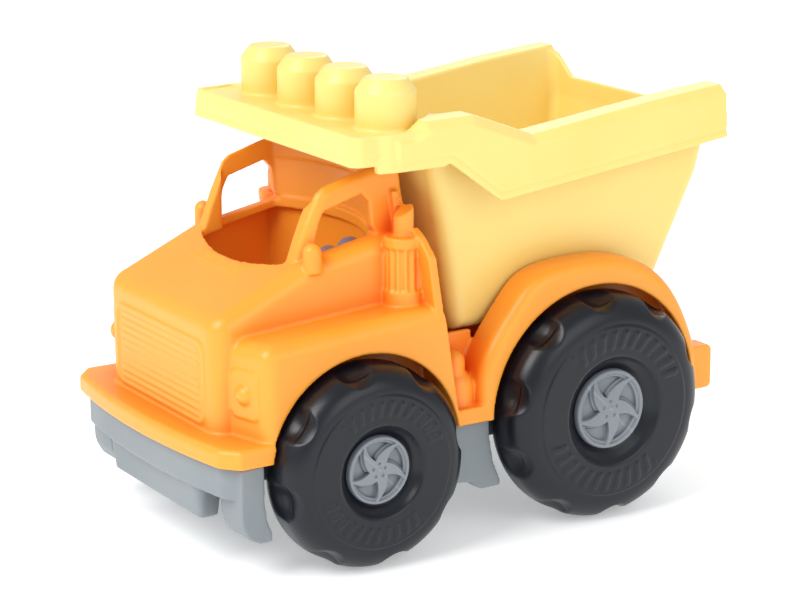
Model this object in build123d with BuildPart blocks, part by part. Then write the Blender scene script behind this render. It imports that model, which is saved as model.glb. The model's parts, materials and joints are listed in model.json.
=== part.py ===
"""Toddler's toy dump truck: moulded cab body, grey chassis, tipping bed with building-block studs.

Frame: millimetres, +Z up, the truck drives towards -Y and its left side faces +X.
The origin is on the ground, in the middle of the truck's bounding box.
"""

import math
import os

from build123d import *

os.makedirs("parts", exist_ok=True)

# ---------------------------------------------------------------- driving dimensions
stud_pitch = 32.0
stud_radius = 12.7
stud_height = 21.0
wheelbase = 115.2
front_axle_y = -56.4
front_tyre_radius = 42.6
rear_tyre_radius = 49.1
parting_z = 50.0            # chassis below, body shell above
wall = 2.6                  # general wall of the moulded shells

rear_axle_y = front_axle_y + wheelbase
front_axle_z = front_tyre_radius
rear_axle_z = rear_tyre_radius


def aft(distance):
    """Model Y of a point this far behind the front axle."""
    return front_axle_y + distance


on_base = (Align.CENTER, Align.CENTER, Align.MIN)   # a primitive that stands on its location

# wheels and axles
wheel_inner_x = 56.5
wheel_outer_x = 84.0
axle_radius = 2.0
axle_end_x = 76.0
bush_radius = 3.6
running_clearance = 0.05
front_core_radius = 14.5
rear_core_radius = 17.5
front_pockets = 8           # scoops round each tyre shoulder
rear_pockets = 10

# cab and bonnet
bonnet_half_width = 49.5
bonnet_front_y = aft(-57.0)
cab_half_width = 43.0       # pillars and roof stand in from the sills
pillar_width = 8.0
cab_wall = 4.0
cab_floor_z = 84.0
roof_z = 158.5

# front fenders
fender_outer_x = 70.0
fender_front_y = aft(-50.0)
fender_sweep = 15.0         # the headlight face is swept back by this many degrees
front_arch_radius = 44.7
shelf_top_z = 58.0

# exhaust stacks
exhaust_x = 52.9
exhaust_y = aft(29.2)

# rear fenders and the deck under the bed
rear_fender_inner_x = 53.4
rear_fender_radius = 63.0
fender_rounding = 5.5
rear_arch_radius = 52.2
deck_top_z = 66.0
tail_y = aft(176.0)

# tipping bed
bed_floor_z = 84.5
bed_floor_half_width = 49.3
bed_top_half_width = 60.0
bed_top_z = 181.0
bed_wall = 2.5
canopy_deck_z = 175.5
canopy_front_y = aft(-5.0)
rim_outer_x = 71.5
hinge_y = aft(150.0)
hinge_z = 76.0
hinge_pin_radius = 2.5
hinge_ear_x = 30.0          # centre of each pair of hinge ears
ear_thickness = 5.0

# ---------------------------------------------------------------- body shell
shelf_side_x = 71.5

# bumper shelf that runs round the nose
with BuildPart() as nose_shelf:
    with BuildSketch(Plane.XY.offset(parting_z)):
        with BuildLine():
            nose = ThreePointArc((-64, aft(-64.5)), (0, aft(-70)), (64, aft(-64.5)))
            Polyline(
                nose @ 1, (shelf_side_x, aft(-58)), (shelf_side_x, aft(-40)),
                (-shelf_side_x, aft(-40)), (-shelf_side_x, aft(-58)), nose @ 0,
            )
        make_face()
    extrude(amount=shelf_top_z - parting_z)
    fillet(nose_shelf.faces().sort_by(Axis.Z)[-1].edges().filter_by(lambda e: e.center().Y < aft(-45)), 2.5)

# bonnet and the cab up to the sills, rounded along its top and front corners
with BuildPart() as bonnet_block:
    with BuildSketch(Plane.YZ):
        with BuildLine():
            Polyline(
                (bonnet_front_y, parting_z), (bonnet_front_y, 104), (aft(-48), 108.3), (aft(-15), 123),
                (aft(22), 130), (aft(34), 130), (aft(46.5), parting_z), (bonnet_front_y, parting_z),
            )
        make_face()
        fillet(vertices().group_by(Axis.Y)[0].sort_by(Axis.Z)[-1], 5)
        fillet(vertices().filter_by(lambda v: 122 < v.Z < 124), 20)
    extrude(amount=bonnet_half_width, both=True)
    front_corners = bonnet_block.edges().filter_by(Axis.Z).group_by(Axis.Y)[0]
    fillet(front_corners, 8.5)
    side_tops = bonnet_block.edges().filter_by(
        lambda edge: edge.center().Z > 100 and edge.center().Y < aft(28)
        and abs(edge.center().X) > bonnet_half_width - 1
    )
    fillet(side_tops, 7.5)

# front fenders, rounded along their outer and front edges
with BuildPart() as front_fenders:
    for side in (-1, 1):
        with BuildSketch(Plane.YZ.offset(side * (bonnet_half_width - 4))):
            with BuildLine():
                Polyline(
                    (fender_front_y, parting_z), (fender_front_y, 97), (aft(34), 103),
                    (aft(38.5), 103), (aft(46.5), parting_z), (fender_front_y, parting_z),
                )
            make_face()
        extrude(amount=side * (fender_outer_x - bonnet_half_width + 4))
        # headlight face swept back towards the outside
        with BuildSketch(Plane.XY.offset(parting_z - 1)):
            with BuildLine():
                sweep_depth = 25 * math.tan(math.radians(fender_sweep))
                Polyline(
                    (side * 44, fender_front_y - 5), (side * 44, fender_front_y),
                    (side * bonnet_half_width, fender_front_y),
                    (side * (fender_outer_x + 5), fender_front_y + sweep_depth),
                    (side * (fender_outer_x + 5), fender_front_y - 5), (side * 44, fender_front_y - 5),
                )
            make_face()
        extrude(amount=60, mode=Mode.SUBTRACT)
    fender_sides = front_fenders.faces().filter_by(
        lambda face: abs(face.center().X) > fender_outer_x - 0.1
    )
    fender_rims = fender_sides.edges().filter_by(
        lambda edge: edge.center().Y < aft(35) and edge.center().Z > 55
    )
    fender_fronts = front_fenders.edges().filter_by(
        lambda edge: edge.center().Y < aft(-43) and edge.center().Z > 90 and edge.length > 18
    )
    fillet(fender_rims + fender_fronts, 7)

# slanted bulkhead behind the exhausts
with BuildPart() as bulkhead:
    with BuildSketch(Plane.YZ):
        with BuildLine():
            Polyline(
                (aft(28), 148), (aft(31.5), 148), (aft(46.8), parting_z), (aft(42), parting_z),
                (aft(28), 148),
            )
        make_face()
    extrude(amount=68.5, both=True)

# the bulkhead is trimmed to its rounded shoulders, seen from the front
with BuildPart() as shoulder_trim:
    for side in (-1, 1):
        with BuildSketch(Plane.XZ.offset(-aft(60))):
            with BuildLine():
                Polyline(
                    (side * 80, 104), (side * 68.5, 104), (side * 68.5, 124), (side * 62, 132),
                    (side * 52, 137), (side * 46, 150), (side * 46, 170), (side * 80, 170),
                    (side * 80, 104),
                )
            make_face()
        extrude(amount=60)

# side outline of the rear fender: crown and tail round the wheel, front falling to the ledge
with BuildPart() as fender_block:
    for side in (-1, 1):
        with BuildSketch(Plane.YZ.offset(side * rear_fender_inner_x)):
            with BuildLine():
                fender_front_edge = Spline(
                    (aft(57), parting_z), (aft(59.5), 76), (aft(74), 97.5),
                    (aft(114.7), rear_axle_z + rear_fender_radius), tangents=((0, 1), (1, 0)),
                )
                fender_tail_edge = Spline(
                    fender_front_edge @ 1, (aft(149), 101.6), (aft(160.8), 87.6), (aft(168.2), 71.9),
                    (aft(171.3), parting_z), tangents=((1, 0), (0, -1)),
                )
                Line(fender_tail_edge @ 1, fender_front_edge @ 0)
            make_face()
        extrude(amount=side * (fender_outer_x - rear_fender_inner_x))
    crown_edges = fender_block.edges().filter_by(
        lambda edge: abs(edge.center().X) > fender_outer_x - 0.1 and edge.center().Z > 60
    )
    fillet(crown_edges, fender_rounding)

with BuildPart() as fender_hollow:
    for side in (-1, 1):
        with BuildSketch(Plane.YZ.offset(side * (rear_fender_inner_x + wall))):
            with BuildLine():
                hollow_front_edge = Spline(
                    (aft(60), parting_z - 1), (aft(62.2), 75), (aft(76), 95),
                    (aft(114.7), rear_axle_z + rear_fender_radius - wall), tangents=((0, 1), (1, 0)),
                )
                hollow_tail_edge = Spline(
                    hollow_front_edge @ 1, (aft(147.4), 99.4), (aft(158.6), 86.2), (aft(165.7), 71.2),
                    (aft(168.7), parting_z - 1), tangents=((1, 0), (0, -1)),
                )
                Line(hollow_tail_edge @ 1, hollow_front_edge @ 0)
            make_face()
        extrude(amount=side * (fender_outer_x - rear_fender_inner_x - 2 * wall))

with BuildPart() as wheel_wells:
    for side in (-1, 1):
        # front: room inside the fender, then the round arch through its side face
        with BuildSketch(Plane.YZ.offset(side * (bonnet_half_width + 0.6))):
            with BuildLine():
                Polyline(
                    (aft(-40), parting_z - 1), (aft(-40), 93), (aft(33), 98), (aft(36.5), 98),
                    (aft(43.5), parting_z - 1), (aft(-40), parting_z - 1),
                )
            make_face()
        extrude(amount=side * (fender_outer_x - bonnet_half_width - 0.6 - wall))
        with BuildSketch(Plane.YZ.offset(side * (bonnet_half_width + 0.6))):
            with Locations((aft(1.1), 43.6)):
                Circle(front_arch_radius)
        extrude(amount=side * 25)
        # rear: the round arch
        with BuildSketch(Plane.YZ.offset(side * (fender_outer_x - wall - 1))):
            with Locations((rear_axle_y, rear_axle_z)):
                Circle(rear_arch_radius)
        extrude(amount=side * 8)
        # rear axle passes through the inner wall of the well
        with BuildSketch(Plane.YZ.offset(side * (rear_fender_inner_x - 1))):
            with Locations((rear_axle_y, rear_axle_z)):
                Circle(bush_radius + 1.5)
        extrude(amount=side * (wall + 2))

# space under the bonnet and inside the cab
def back_arc(half_width, corner_y, centre_y):
    """Concave back wall of the cab, seen from above."""
    return ThreePointArc((half_width, corner_y), (0, centre_y), (-half_width, corner_y))


tub_half_width = bonnet_half_width - wall
pillar_inner_x = cab_half_width - pillar_width
cab_inner_x = cab_half_width - cab_wall
with BuildPart() as under_hollow:
    # room for the front axle, below the cab floor
    with BuildSketch(Plane.YZ):
        with BuildLine():
            Polyline(
                (aft(-54), parting_z - 1), (aft(-54), cab_floor_z), (aft(38), cab_floor_z),
                (aft(43.2), parting_z - 1), (aft(-54), parting_z - 1),
            )
        make_face()
    extrude(amount=tub_half_width, both=True)

with BuildPart() as tub_hollow:
    # from the cab floor up to the underside of the bonnet and the sills
    with BuildSketch(Plane.XY.offset(cab_floor_z - 0.1)):
        with BuildLine():
            Polyline(
                (-tub_half_width, aft(20)), (-tub_half_width, aft(-54)), (tub_half_width, aft(-54)),
                (tub_half_width, aft(20)),
            )
            back_arc(tub_half_width, aft(20), aft(34))
        make_face()
    extrude(amount=60)
    with BuildSketch(Plane.YZ):
        with BuildLine():
            Polyline(
                (aft(-54), cab_floor_z - 1), (aft(-54), 100.5), (aft(-47), 104.5), (aft(-15), 119),
                (aft(22), 126.5), (aft(40), 126.5), (aft(40), cab_floor_z - 1),
                (aft(-54), cab_floor_z - 1),
            )
        make_face()
    extrude(amount=60, both=True, mode=Mode.INTERSECT)

# cab above the sills: pillars and side rails, open at the top under the bed's canopy
with BuildPart() as cab_top:
    with BuildSketch(Plane.YZ):
        with BuildLine():
            Polyline(
                (aft(-19), 112), (aft(-18), 118), (aft(-16.6), 122), (aft(-13.8), 130), (aft(-10.5), 138),
                (aft(-5), 149.3), (aft(-2.2), 151.8), (aft(12.4), 156.2), (aft(22), roof_z),
                (aft(33), roof_z), (aft(34.5), 146), (aft(38), 132), (aft(38), 112), (aft(-19), 112),
            )
        make_face()
    extrude(amount=cab_half_width, both=True)
    rail_edges = cab_top.edges().filter_by(
        lambda edge: abs(edge.center().X) > cab_half_width - 0.1 and edge.center().Z > 113
    )
    fillet(rail_edges.filter_by(lambda edge: edge.center().Y < aft(30)), 4)

with BuildPart() as cab_openings:
    # inside of the cab above the sills, open towards the windscreen
    with BuildSketch(Plane.XY.offset(116)):
        with BuildLine():
            Polyline(
                (-cab_inner_x, aft(20)), (-cab_inner_x, aft(-6)), (-pillar_inner_x, aft(-8)),
                (-pillar_inner_x, aft(-18)),
            )
            ThreePointArc((-pillar_inner_x, aft(-18)), (0, aft(-25)), (pillar_inner_x, aft(-18)))
            Polyline(
                (pillar_inner_x, aft(-18)), (pillar_inner_x, aft(-8)), (cab_inner_x, aft(-6)),
                (cab_inner_x, aft(20)),
            )
            back_arc(cab_inner_x, aft(20), aft(31.5))
        make_face()
    extrude(amount=60)
    # the back wall is set back a little between the window lines
    with BuildSketch(Plane.XY.offset(131.5)):
        with BuildLine():
            back_arc(cab_inner_x, aft(20.5), aft(33))
            Polyline(
                (-cab_inner_x, aft(20.5)), (-cab_inner_x, aft(10)), (cab_inner_x, aft(10)),
                (cab_inner_x, aft(20.5)),
            )
        make_face()
    extrude(amount=17.5)
    # side windows, both sides at once
    with BuildSketch(Plane.YZ):
        with BuildLine():
            Polyline(
                (aft(-8), 124.4), (aft(-6.9), 130), (aft(-4.7), 138), (aft(-2.5), 142.6),
                (aft(15.5), 147.8), (aft(19), 144), (aft(20), 134), (aft(22.5), 130), (aft(-8), 124.4),
            )
        make_face()
        fillet(vertices().filter_by(lambda v: 142 < v.Z < 143 or v.Z > 147), 2.5)
    extrude(amount=60, both=True)

# deck, tail panel and ledges between the rear wheels
screw_spots = [(42.6, aft(-46)), (42.6, aft(38)), (49.5, aft(70)), (49.5, aft(163))]
screw_shank_radius = 1.4
boss_radius = 4.8
boss_top_z = 62.0

with BuildPart() as body_shell:
    add(nose_shelf.part)
    add(front_fenders.part)
    add(bulkhead.part)
    add(shoulder_trim.part, mode=Mode.SUBTRACT)
    add(bonnet_block.part)
    add(cab_top.part)
    add(fender_block.part)
    # niche for each exhaust, behind the end of the side face
    for side in (-1, 1):
        with BuildSketch(Plane.XY.offset(102)):
            with Locations((side * 51.5, aft(31.5))):
                RectangleRounded(11, 14, 3)
        extrude(amount=40, mode=Mode.SUBTRACT)
    add(under_hollow.part, mode=Mode.SUBTRACT)
    add(tub_hollow.part, mode=Mode.SUBTRACT)
    add(fender_hollow.part, mode=Mode.SUBTRACT)
    add(cab_openings.part, mode=Mode.SUBTRACT)
    # deck below the bed, with its front and tail panels
    with BuildSketch(Plane.YZ):
        with BuildLine():
            Polyline(
                (aft(40), deck_top_z), (tail_y, deck_top_z), (tail_y, parting_z),
                (tail_y - wall, parting_z), (tail_y - wall, deck_top_z - wall),
                (aft(40), deck_top_z - wall), (aft(40), deck_top_z),
            )
        make_face()
    extrude(amount=rear_fender_inner_x + wall, both=True)
    for side in (-1, 1):
        # ledge between the fenders, and the side wall under the deck
        with BuildSketch(Plane.YZ.offset(side * 50)):
            with BuildLine():
                Polyline(
                    (aft(44), parting_z), (aft(62.5), parting_z), (aft(62.5), 57), (aft(44), 57),
                    (aft(44), parting_z),
                )
            make_face()
        extrude(amount=side * 19.5)
        with BuildSketch(Plane.YZ.offset(side * rear_fender_inner_x)):
            with BuildLine():
                Polyline(
                    (aft(42), parting_z), (aft(62), parting_z), (aft(62), 86), (aft(40), 86),
                    (aft(42), parting_z),
                )
            make_face()
        extrude(amount=-side * wall)
        # upright canister with a small domed cap on the ledge
        with Locations((side * 58, aft(51), 57)):
            Cylinder(8, 7, align=on_base)
            with Locations((0, 0, 7)):
                Sphere(8)
        with Locations((side * 58, aft(50), 68)):
            Cylinder(5, 7, align=on_base)
            with Locations((0, 0, 7)):
                Sphere(5)
        # tow lug at each tail corner
        with BuildSketch(Plane.YZ.offset(side * 55.6)):
            with Locations((aft(175), 54.5)):
                RectangleRounded(12, 20, 3)
        extrude(amount=side * 10.4)
        # ears that carry the bed hinge
        for offset_x in (-1, 1):
            ear_inner_x = side * hinge_ear_x + offset_x * (ear_thickness / 2 + 0.4)
            with BuildSketch(Plane.YZ.offset(ear_inner_x)):
                with BuildLine():
                    Polyline(
                        (hinge_y - 9, deck_top_z - 1), (hinge_y - 5, hinge_z), (hinge_y + 5, hinge_z),
                        (hinge_y + 9, deck_top_z - 1), (hinge_y - 9, deck_top_z - 1),
                    )
                make_face()
                with Locations((hinge_y, hinge_z)):
                    Circle(5)
            extrude(amount=offset_x * 4)
        # ribs that the bed rests on
        with BuildSketch(Plane.XY.offset(deck_top_z - 1)):
            with Locations((side * 30, aft(90))):
                Rectangle(3, 50)
        extrude(amount=bed_floor_z - 0.3 - deck_top_z + 1)
    add(wheel_wells.part, mode=Mode.SUBTRACT)
    # hinge pin holes
    with BuildSketch(Plane.YZ):
        with Locations((hinge_y, hinge_z)):
            Circle(hinge_pin_radius)
    extrude(amount=50, both=True, mode=Mode.SUBTRACT)
    # exhaust stacks in their niches
    for side in (-1, 1):
        with Locations((side * exhaust_x, exhaust_y, 98)):
            Cylinder(8.6, 10.5, align=on_base)
        with Locations((side * exhaust_x, exhaust_y, 108)):
            Cylinder(6.9, 20, align=on_base)
            with PolarLocations(6.9, 14):
                Cylinder(1.1, 19, align=on_base)
        with Locations((side * exhaust_x, exhaust_y, 126.5)):
            Cylinder(8.4, 4.5, align=on_base)
        with Locations((side * exhaust_x, exhaust_y, 130)):
            Cylinder(4.2, 14, align=on_base)
        # its mouth is cut off at a slant, open towards the front
        with Locations(Location((side * exhaust_x, exhaust_y, 141.5), (30, 0, 0))):
            Box(14, 18, 8, align=on_base, mode=Mode.SUBTRACT)
        # nubs at the pillar feet
        with Locations((side * 47.2, aft(-10.7), 119)):
            Cylinder(3.9, 8.6, align=on_base)
            with Locations((0, 0, 8.6)):
                Sphere(3.9)
        # headlight panels with domed lenses
        sweep = math.radians(fender_sweep)
        headlight_plane = Plane(
            origin=(side * 57.3, fender_front_y + 8 * math.tan(sweep), 76.5),
            x_dir=(math.cos(sweep), side * math.sin(sweep), 0),
            z_dir=(side * math.sin(sweep), -math.cos(sweep), 0),
        )
        with BuildSketch(headlight_plane):
            RectangleRounded(15.5, 20, 3)
        extrude(amount=1.0)
        with Locations(headlight_plane.offset(-0.6)):
            Sphere(4.6)
    # grille: a thin frame with fine louvres
    with BuildSketch(Plane.XZ.offset(-bonnet_front_y)):
        with Locations((0, 77.5)):
            RectangleRounded(80, 35, 6)
            RectangleRounded(77, 32, 5, mode=Mode.SUBTRACT)
    extrude(amount=0.8)
    with BuildSketch(Plane.XZ.offset(-bonnet_front_y)):
        with GridLocations(0, 3.1, 1, 10):
            with Locations((0, 77.5)):
                Rectangle(70, 1.3)
    extrude(amount=0.6)
    # row of slats on the bonnet, in front of the windscreen
    with BuildSketch(Plane((0, aft(-28.5), 116), x_dir=(1, 0, 0), z_dir=(0, -0.407, 0.914))):
        with GridLocations(4, 1, 10, 1):
            Rectangle(2.2, 6.5)
    extrude(amount=1.5)
    # screw bosses
    for side in (-1, 1):
        for spot_x, spot_y in screw_spots:
            with Locations((side * spot_x, spot_y, parting_z)):
                Cylinder(boss_radius, boss_top_z - parting_z, align=on_base)
                Cylinder(screw_shank_radius, 10, align=on_base, mode=Mode.SUBTRACT)
body_shell.part.label = "body_shell"
export_step(body_shell.part, "parts/body_shell.step")

# ---------------------------------------------------------------- cab floor with the driver's seat
driver_x = 31.0
driver_y = aft(12.5)
cab_floor_half_width = bonnet_half_width - wall - 0.3
with BuildPart() as cab_floor:
    with BuildSketch(Plane.XY.offset(cab_floor_z)):
        with Locations((0, aft(7))):
            Rectangle(2 * cab_floor_half_width, 46)
    extrude(amount=-wall)
    # round seat that the driver stands on
    with Locations((driver_x, driver_y, cab_floor_z)):
        Cylinder(9, 6, align=on_base)
cab_floor.part.label = "cab_floor"
export_step(cab_floor.part, "parts/cab_floor.step")

# ---------------------------------------------------------------- chassis
chassis_half_width = 55.2
chassis_bottom_z = 38.0
bumper_half_width = 66.5
skid_inner_x = 50.0
skid_outer_x = 68.0
side_skirt_x = 65.0

with BuildPart() as chassis:
    # tray, open upwards
    with BuildSketch(Plane.XY.offset(chassis_bottom_z)):
        with Locations((0, (aft(-50) + tail_y) / 2)):
            Rectangle(2 * chassis_half_width, tail_y - aft(-50))
    extrude(amount=parting_z - chassis_bottom_z)
    # bumper under the nose shelf
    with BuildSketch(Plane.XY.offset(36)):
        with BuildLine():
            bumper_nose = ThreePointArc((-57, aft(-62)), (0, aft(-66.5)), (57, aft(-62)))
            left_end = (bumper_half_width, aft(-53))
            right_end = (-bumper_half_width, aft(-53))
            left_corner = ThreePointArc(bumper_nose @ 1, (64, aft(-59.3)), left_end)
            right_corner = ThreePointArc(right_end, (-64, aft(-59.3)), bumper_nose @ 0)
            Polyline(
                left_corner @ 1, (bumper_half_width, aft(-44)), (-bumper_half_width, aft(-44)),
                right_corner @ 0,
            )
        make_face()
    extrude(amount=parting_z - 36)
    # centre valance, narrowing downwards
    with BuildSketch(Plane.XY.offset(37)):
        with Locations((0, aft(-56))):
            RectangleRounded(83, 13, 4)
    extrude(amount=-16, taper=7)
    # side skirts between the wheels
    for side in (-1, 1):
        with BuildSketch(Plane.YZ.offset(side * (chassis_half_width - 8))):
            with BuildLine():
                Polyline(
                    (aft(36), parting_z), (aft(64.6), parting_z), (aft(64.3), 40), (aft(66), 30),
                    (aft(69.5), 21.5), (aft(69.5), 19), (aft(60), 18.8), (aft(56.5), 20.8),
                    (aft(54.5), 23), (aft(34), 24.4), (aft(36), parting_z),
                )
            make_face()
        extrude(amount=side * (side_skirt_x - chassis_half_width + 8))
        # skids in front of the front wheels
        with BuildSketch(Plane.YZ.offset(side * skid_inner_x)):
            with BuildLine():
                Polyline(
                    (aft(-57), parting_z - 1), (aft(-46), parting_z - 1), (aft(-45.9), 35),
                    (aft(-44.7), 26), (aft(-42.3), 19.5), (aft(-42.5), 16.8), (aft(-48), 16.4),
                    (aft(-53), 19), (aft(-56.2), 24.5), (aft(-57), 31), (aft(-57), parting_z - 1),
                )
            make_face()
        extrude(amount=side * (skid_outer_x - skid_inner_x))
    # raised pad that the truck can rest or be fixed on
    with BuildSketch(Plane.XY.offset(chassis_bottom_z)):
        with Locations((0, aft(86.4))):
            RectangleRounded(60, 70, 6)
    extrude(amount=-1)

with BuildPart() as chassis_cuts:
    # inside of the tray
    with BuildSketch(Plane.XY.offset(chassis_bottom_z + wall)):
        with Locations((0, (aft(-50) + tail_y) / 2)):
            Rectangle(2 * (chassis_half_width - wall), tail_y - aft(-50) - 2 * wall)
    extrude(amount=20)
    for side in (-1, 1):
        # room for the tyres
        with BuildSketch(Plane.YZ.offset(side * chassis_half_width)):
            with Locations((front_axle_y, front_axle_z)):
                Circle(front_tyre_radius + 2.5)
            with Locations((rear_axle_y, rear_axle_z)):
                Circle(rear_tyre_radius + 2.5)
        extrude(amount=side * 30)
        # the skirts and skids are hollow from inside
        with BuildSketch(Plane.YZ.offset(side * (chassis_half_width - wall - 6))):
            with Locations((aft(55), 36)):
                Rectangle(10, 20)
        extrude(amount=side * (side_skirt_x - chassis_half_width + 6))

bearing_inner_x = 44.0
with BuildPart() as chassis_body:
    add(chassis.part)
    add(chassis_cuts.part, mode=Mode.SUBTRACT)
    for side in (-1, 1):
        # bearing blocks for both axles
        with BuildSketch(Plane.YZ.offset(side * bearing_inner_x)):
            with Locations((front_axle_y, (chassis_bottom_z + parting_z) / 2)):
                Rectangle(16, parting_z - chassis_bottom_z)
            with BuildLine():
                Polyline(
                    (rear_axle_y - 10, chassis_bottom_z), (rear_axle_y - 6, 56), (rear_axle_y + 6, 56),
                    (rear_axle_y + 10, chassis_bottom_z), (rear_axle_y - 10, chassis_bottom_z),
                )
            make_face()
        extrude(amount=side * (chassis_half_width - bearing_inner_x - 3.2))
        # screw pillars
        for spot_x, spot_y in screw_spots:
            with Locations((side * spot_x, spot_y, chassis_bottom_z)):
                Cylinder(5.2, parting_z - chassis_bottom_z, align=on_base)
    for side in (-1, 1):
        for spot_x, spot_y in screw_spots:
            with Locations((side * spot_x, spot_y, chassis_bottom_z)):
                Cylinder(screw_shank_radius, 14, align=on_base, mode=Mode.SUBTRACT)
                Cylinder(3.2, 5, align=on_base, mode=Mode.SUBTRACT)
    # bush holes right through both sides
    with BuildSketch(Plane.YZ):
        with Locations((front_axle_y, front_axle_z), (rear_axle_y, rear_axle_z)):
            Circle(bush_radius)
    extrude(amount=60, both=True, mode=Mode.SUBTRACT)
chassis_body.part.label = "chassis"
export_step(chassis_body.part, "parts/chassis.step")

# ---------------------------------------------------------------- tipping bed


def bed_hull(inset, top_z, corner_radius):
    """Closed hopper block: the side outline crossed with the end outline, both set in by the wall."""
    spread = (bed_top_half_width - bed_floor_half_width) / (bed_top_z - bed_floor_z)
    foot_z = bed_floor_z + inset
    with BuildPart() as hull:
        with BuildSketch(Plane.YZ):
            with BuildLine():
                Polyline(
                    (aft(57) + inset, foot_z), (aft(158) - inset, foot_z), (aft(180.5) - inset, 141),
                    (aft(183.5) - inset, 158), (aft(183.5) - inset, top_z), (aft(36) + inset, top_z),
                    (aft(41.5) + inset, 154), (aft(57) + inset, foot_z),
                )
            make_face()
            fillet(vertices().group_by(Axis.Y)[-3], corner_radius + 3)
            fillet(vertices().group_by(Axis.Z)[0].sort_by(Axis.Y)[0], corner_radius + 6)
        extrude(amount=70, both=True)
        with BuildSketch(Plane.XZ):
            with BuildLine():
                foot = bed_floor_half_width - inset - spread
                head = bed_top_half_width - inset + (top_z + 1 - bed_top_z) * spread
                Polyline(
                    (-foot, bed_floor_z - 1), (foot, bed_floor_z - 1), (head, top_z + 1),
                    (-head, top_z + 1), (-foot, bed_floor_z - 1),
                )
            make_face()
        extrude(amount=200, both=True, mode=Mode.INTERSECT)
        side_faces = hull.faces().filter_by(lambda face: abs(face.normal_at().X) > 0.9)
        fillet(side_faces.edges().filter_by(lambda edge: edge.center().Z < top_z - 1), corner_radius)
    return hull.part


with BuildPart() as dump_bed:
    add(bed_hull(0, bed_top_z, 6.5))
    add(bed_hull(bed_wall, bed_top_z + 12, 4), mode=Mode.SUBTRACT)

# everything above the rim line of the side walls, the tail sill and the canopy deck
with BuildPart() as bed_top_trim:
    with BuildSketch(Plane.YZ):
        with BuildLine():
            Polyline(
                (aft(20), 176.7), (aft(23.4), 176.7), (aft(30), 180.6), (aft(53), 181), (aft(58), 179.2),
                (aft(82.7), 169.7), (aft(146), 177.7), (aft(190), 181), (aft(190), 200), (aft(20), 200),
                (aft(20), 176.7),
            )
        make_face()
        fillet(vertices().filter_by(lambda v: v.Z < 182).sort_by(Axis.Y)[3:6], 6)
    extrude(amount=90, both=True)
    # tail sill, lower than the side walls, with a ramp at each end
    with BuildSketch(Plane.XZ.offset(-aft(174))):
        with BuildLine():
            Polyline(
                (-43.5, 167.5), (43.5, 167.5), (60, 181), (60, 200), (-60, 200), (-60, 181),
                (-43.5, 167.5),
            )
        make_face()
    extrude(amount=-20)
    # front wall stops at the canopy deck
    with BuildSketch(Plane.XY.offset(canopy_deck_z)):
        with Locations((0, aft(36))):
            Rectangle(110, 20)
    extrude(amount=20)

# side rims: an outward flange with a turned-down skirt, open underneath
flange_inner_x = 57.6
with BuildPart() as rim:
    for side in (-1, 1):
        with BuildSketch(Plane.YZ.offset(side * flange_inner_x)):
            with BuildLine():
                Polyline(
                    (aft(16), 161.5), (aft(40.6), 162.6), (aft(65.2), 144), (aft(182.5), 158),
                    (aft(181), 181), (aft(146), 177.7), (aft(82.7), 169.7), (aft(58), 179.2),
                    (aft(53), 181), (aft(30), 180.6), (aft(23.4), 176.7), (aft(16), 176.7),
                    (aft(16), 161.5),
                )
            make_face()
        extrude(amount=side * (rim_outer_x - flange_inner_x))
    outer_faces = rim.faces().filter_by(lambda face: abs(face.center().X) > rim_outer_x - 0.1)
    crest_edges = outer_faces.edges().filter_by(lambda edge: edge.center().Z > 168 and edge.length > 3)
    crest_edges = crest_edges.filter_by(lambda edge: aft(17) < edge.center().Y < aft(180))
    chamfer(crest_edges, 4, 4)
    for side in (-1, 1):
        with BuildSketch(Plane.YZ.offset(side * (flange_inner_x - 2))):
            with BuildLine():
                Polyline(
                    (aft(10), 140), (aft(180), 140), (aft(178.5), 172), (aft(146), 171),
                    (aft(82.7), 163), (aft(57), 172), (aft(52), 174), (aft(31), 174), (aft(24), 172),
                    (aft(10), 172), (aft(10), 140),
                )
            make_face()
        extrude(amount=side * (rim_outer_x - bed_wall - flange_inner_x + 2), mode=Mode.SUBTRACT)

# canopy over the cab, a little narrower than the bed, with a soft step at each front corner


def canopy_outline(inset, back_y):
    """Plan outline of the canopy, set in all round; closed along its back edge."""
    front_x = 70.3 - inset
    side_x = rim_outer_x - inset
    with BuildSketch() as outline:
        with BuildLine():
            Polyline(
                (-front_x, canopy_front_y + inset), (front_x, canopy_front_y + inset),
                (front_x, aft(8)), (side_x, aft(13)), (side_x, back_y), (-side_x, back_y),
                (-side_x, aft(13)), (-front_x, aft(8)), (-front_x, canopy_front_y + inset),
            )
        make_face()
        fillet(vertices().group_by(Axis.Y)[0], 6 - 0.8 * inset)
    return outline.sketch


with BuildPart() as canopy:
    with BuildSketch(Plane.XY.offset(161.5)):
        add(canopy_outline(0, aft(39)))
    extrude(amount=177 - 161.5, taper=8)
    with BuildSketch(Plane.XY.offset(150)):
        add(canopy_outline(bed_wall + 1.7, aft(37)))
    extrude(amount=canopy_deck_z - bed_wall - 150, mode=Mode.SUBTRACT)
    with BuildSketch(Plane.XY.offset(canopy_deck_z)):
        add(canopy_outline(4, aft(45)))
    extrude(amount=10, mode=Mode.SUBTRACT)
    # the front skirt hangs less far down than the side skirts
    with BuildSketch(Plane.XY.offset(150)):
        with Locations((0, aft(-2))):
            Rectangle(200, 18)
    extrude(amount=15, mode=Mode.SUBTRACT)

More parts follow.
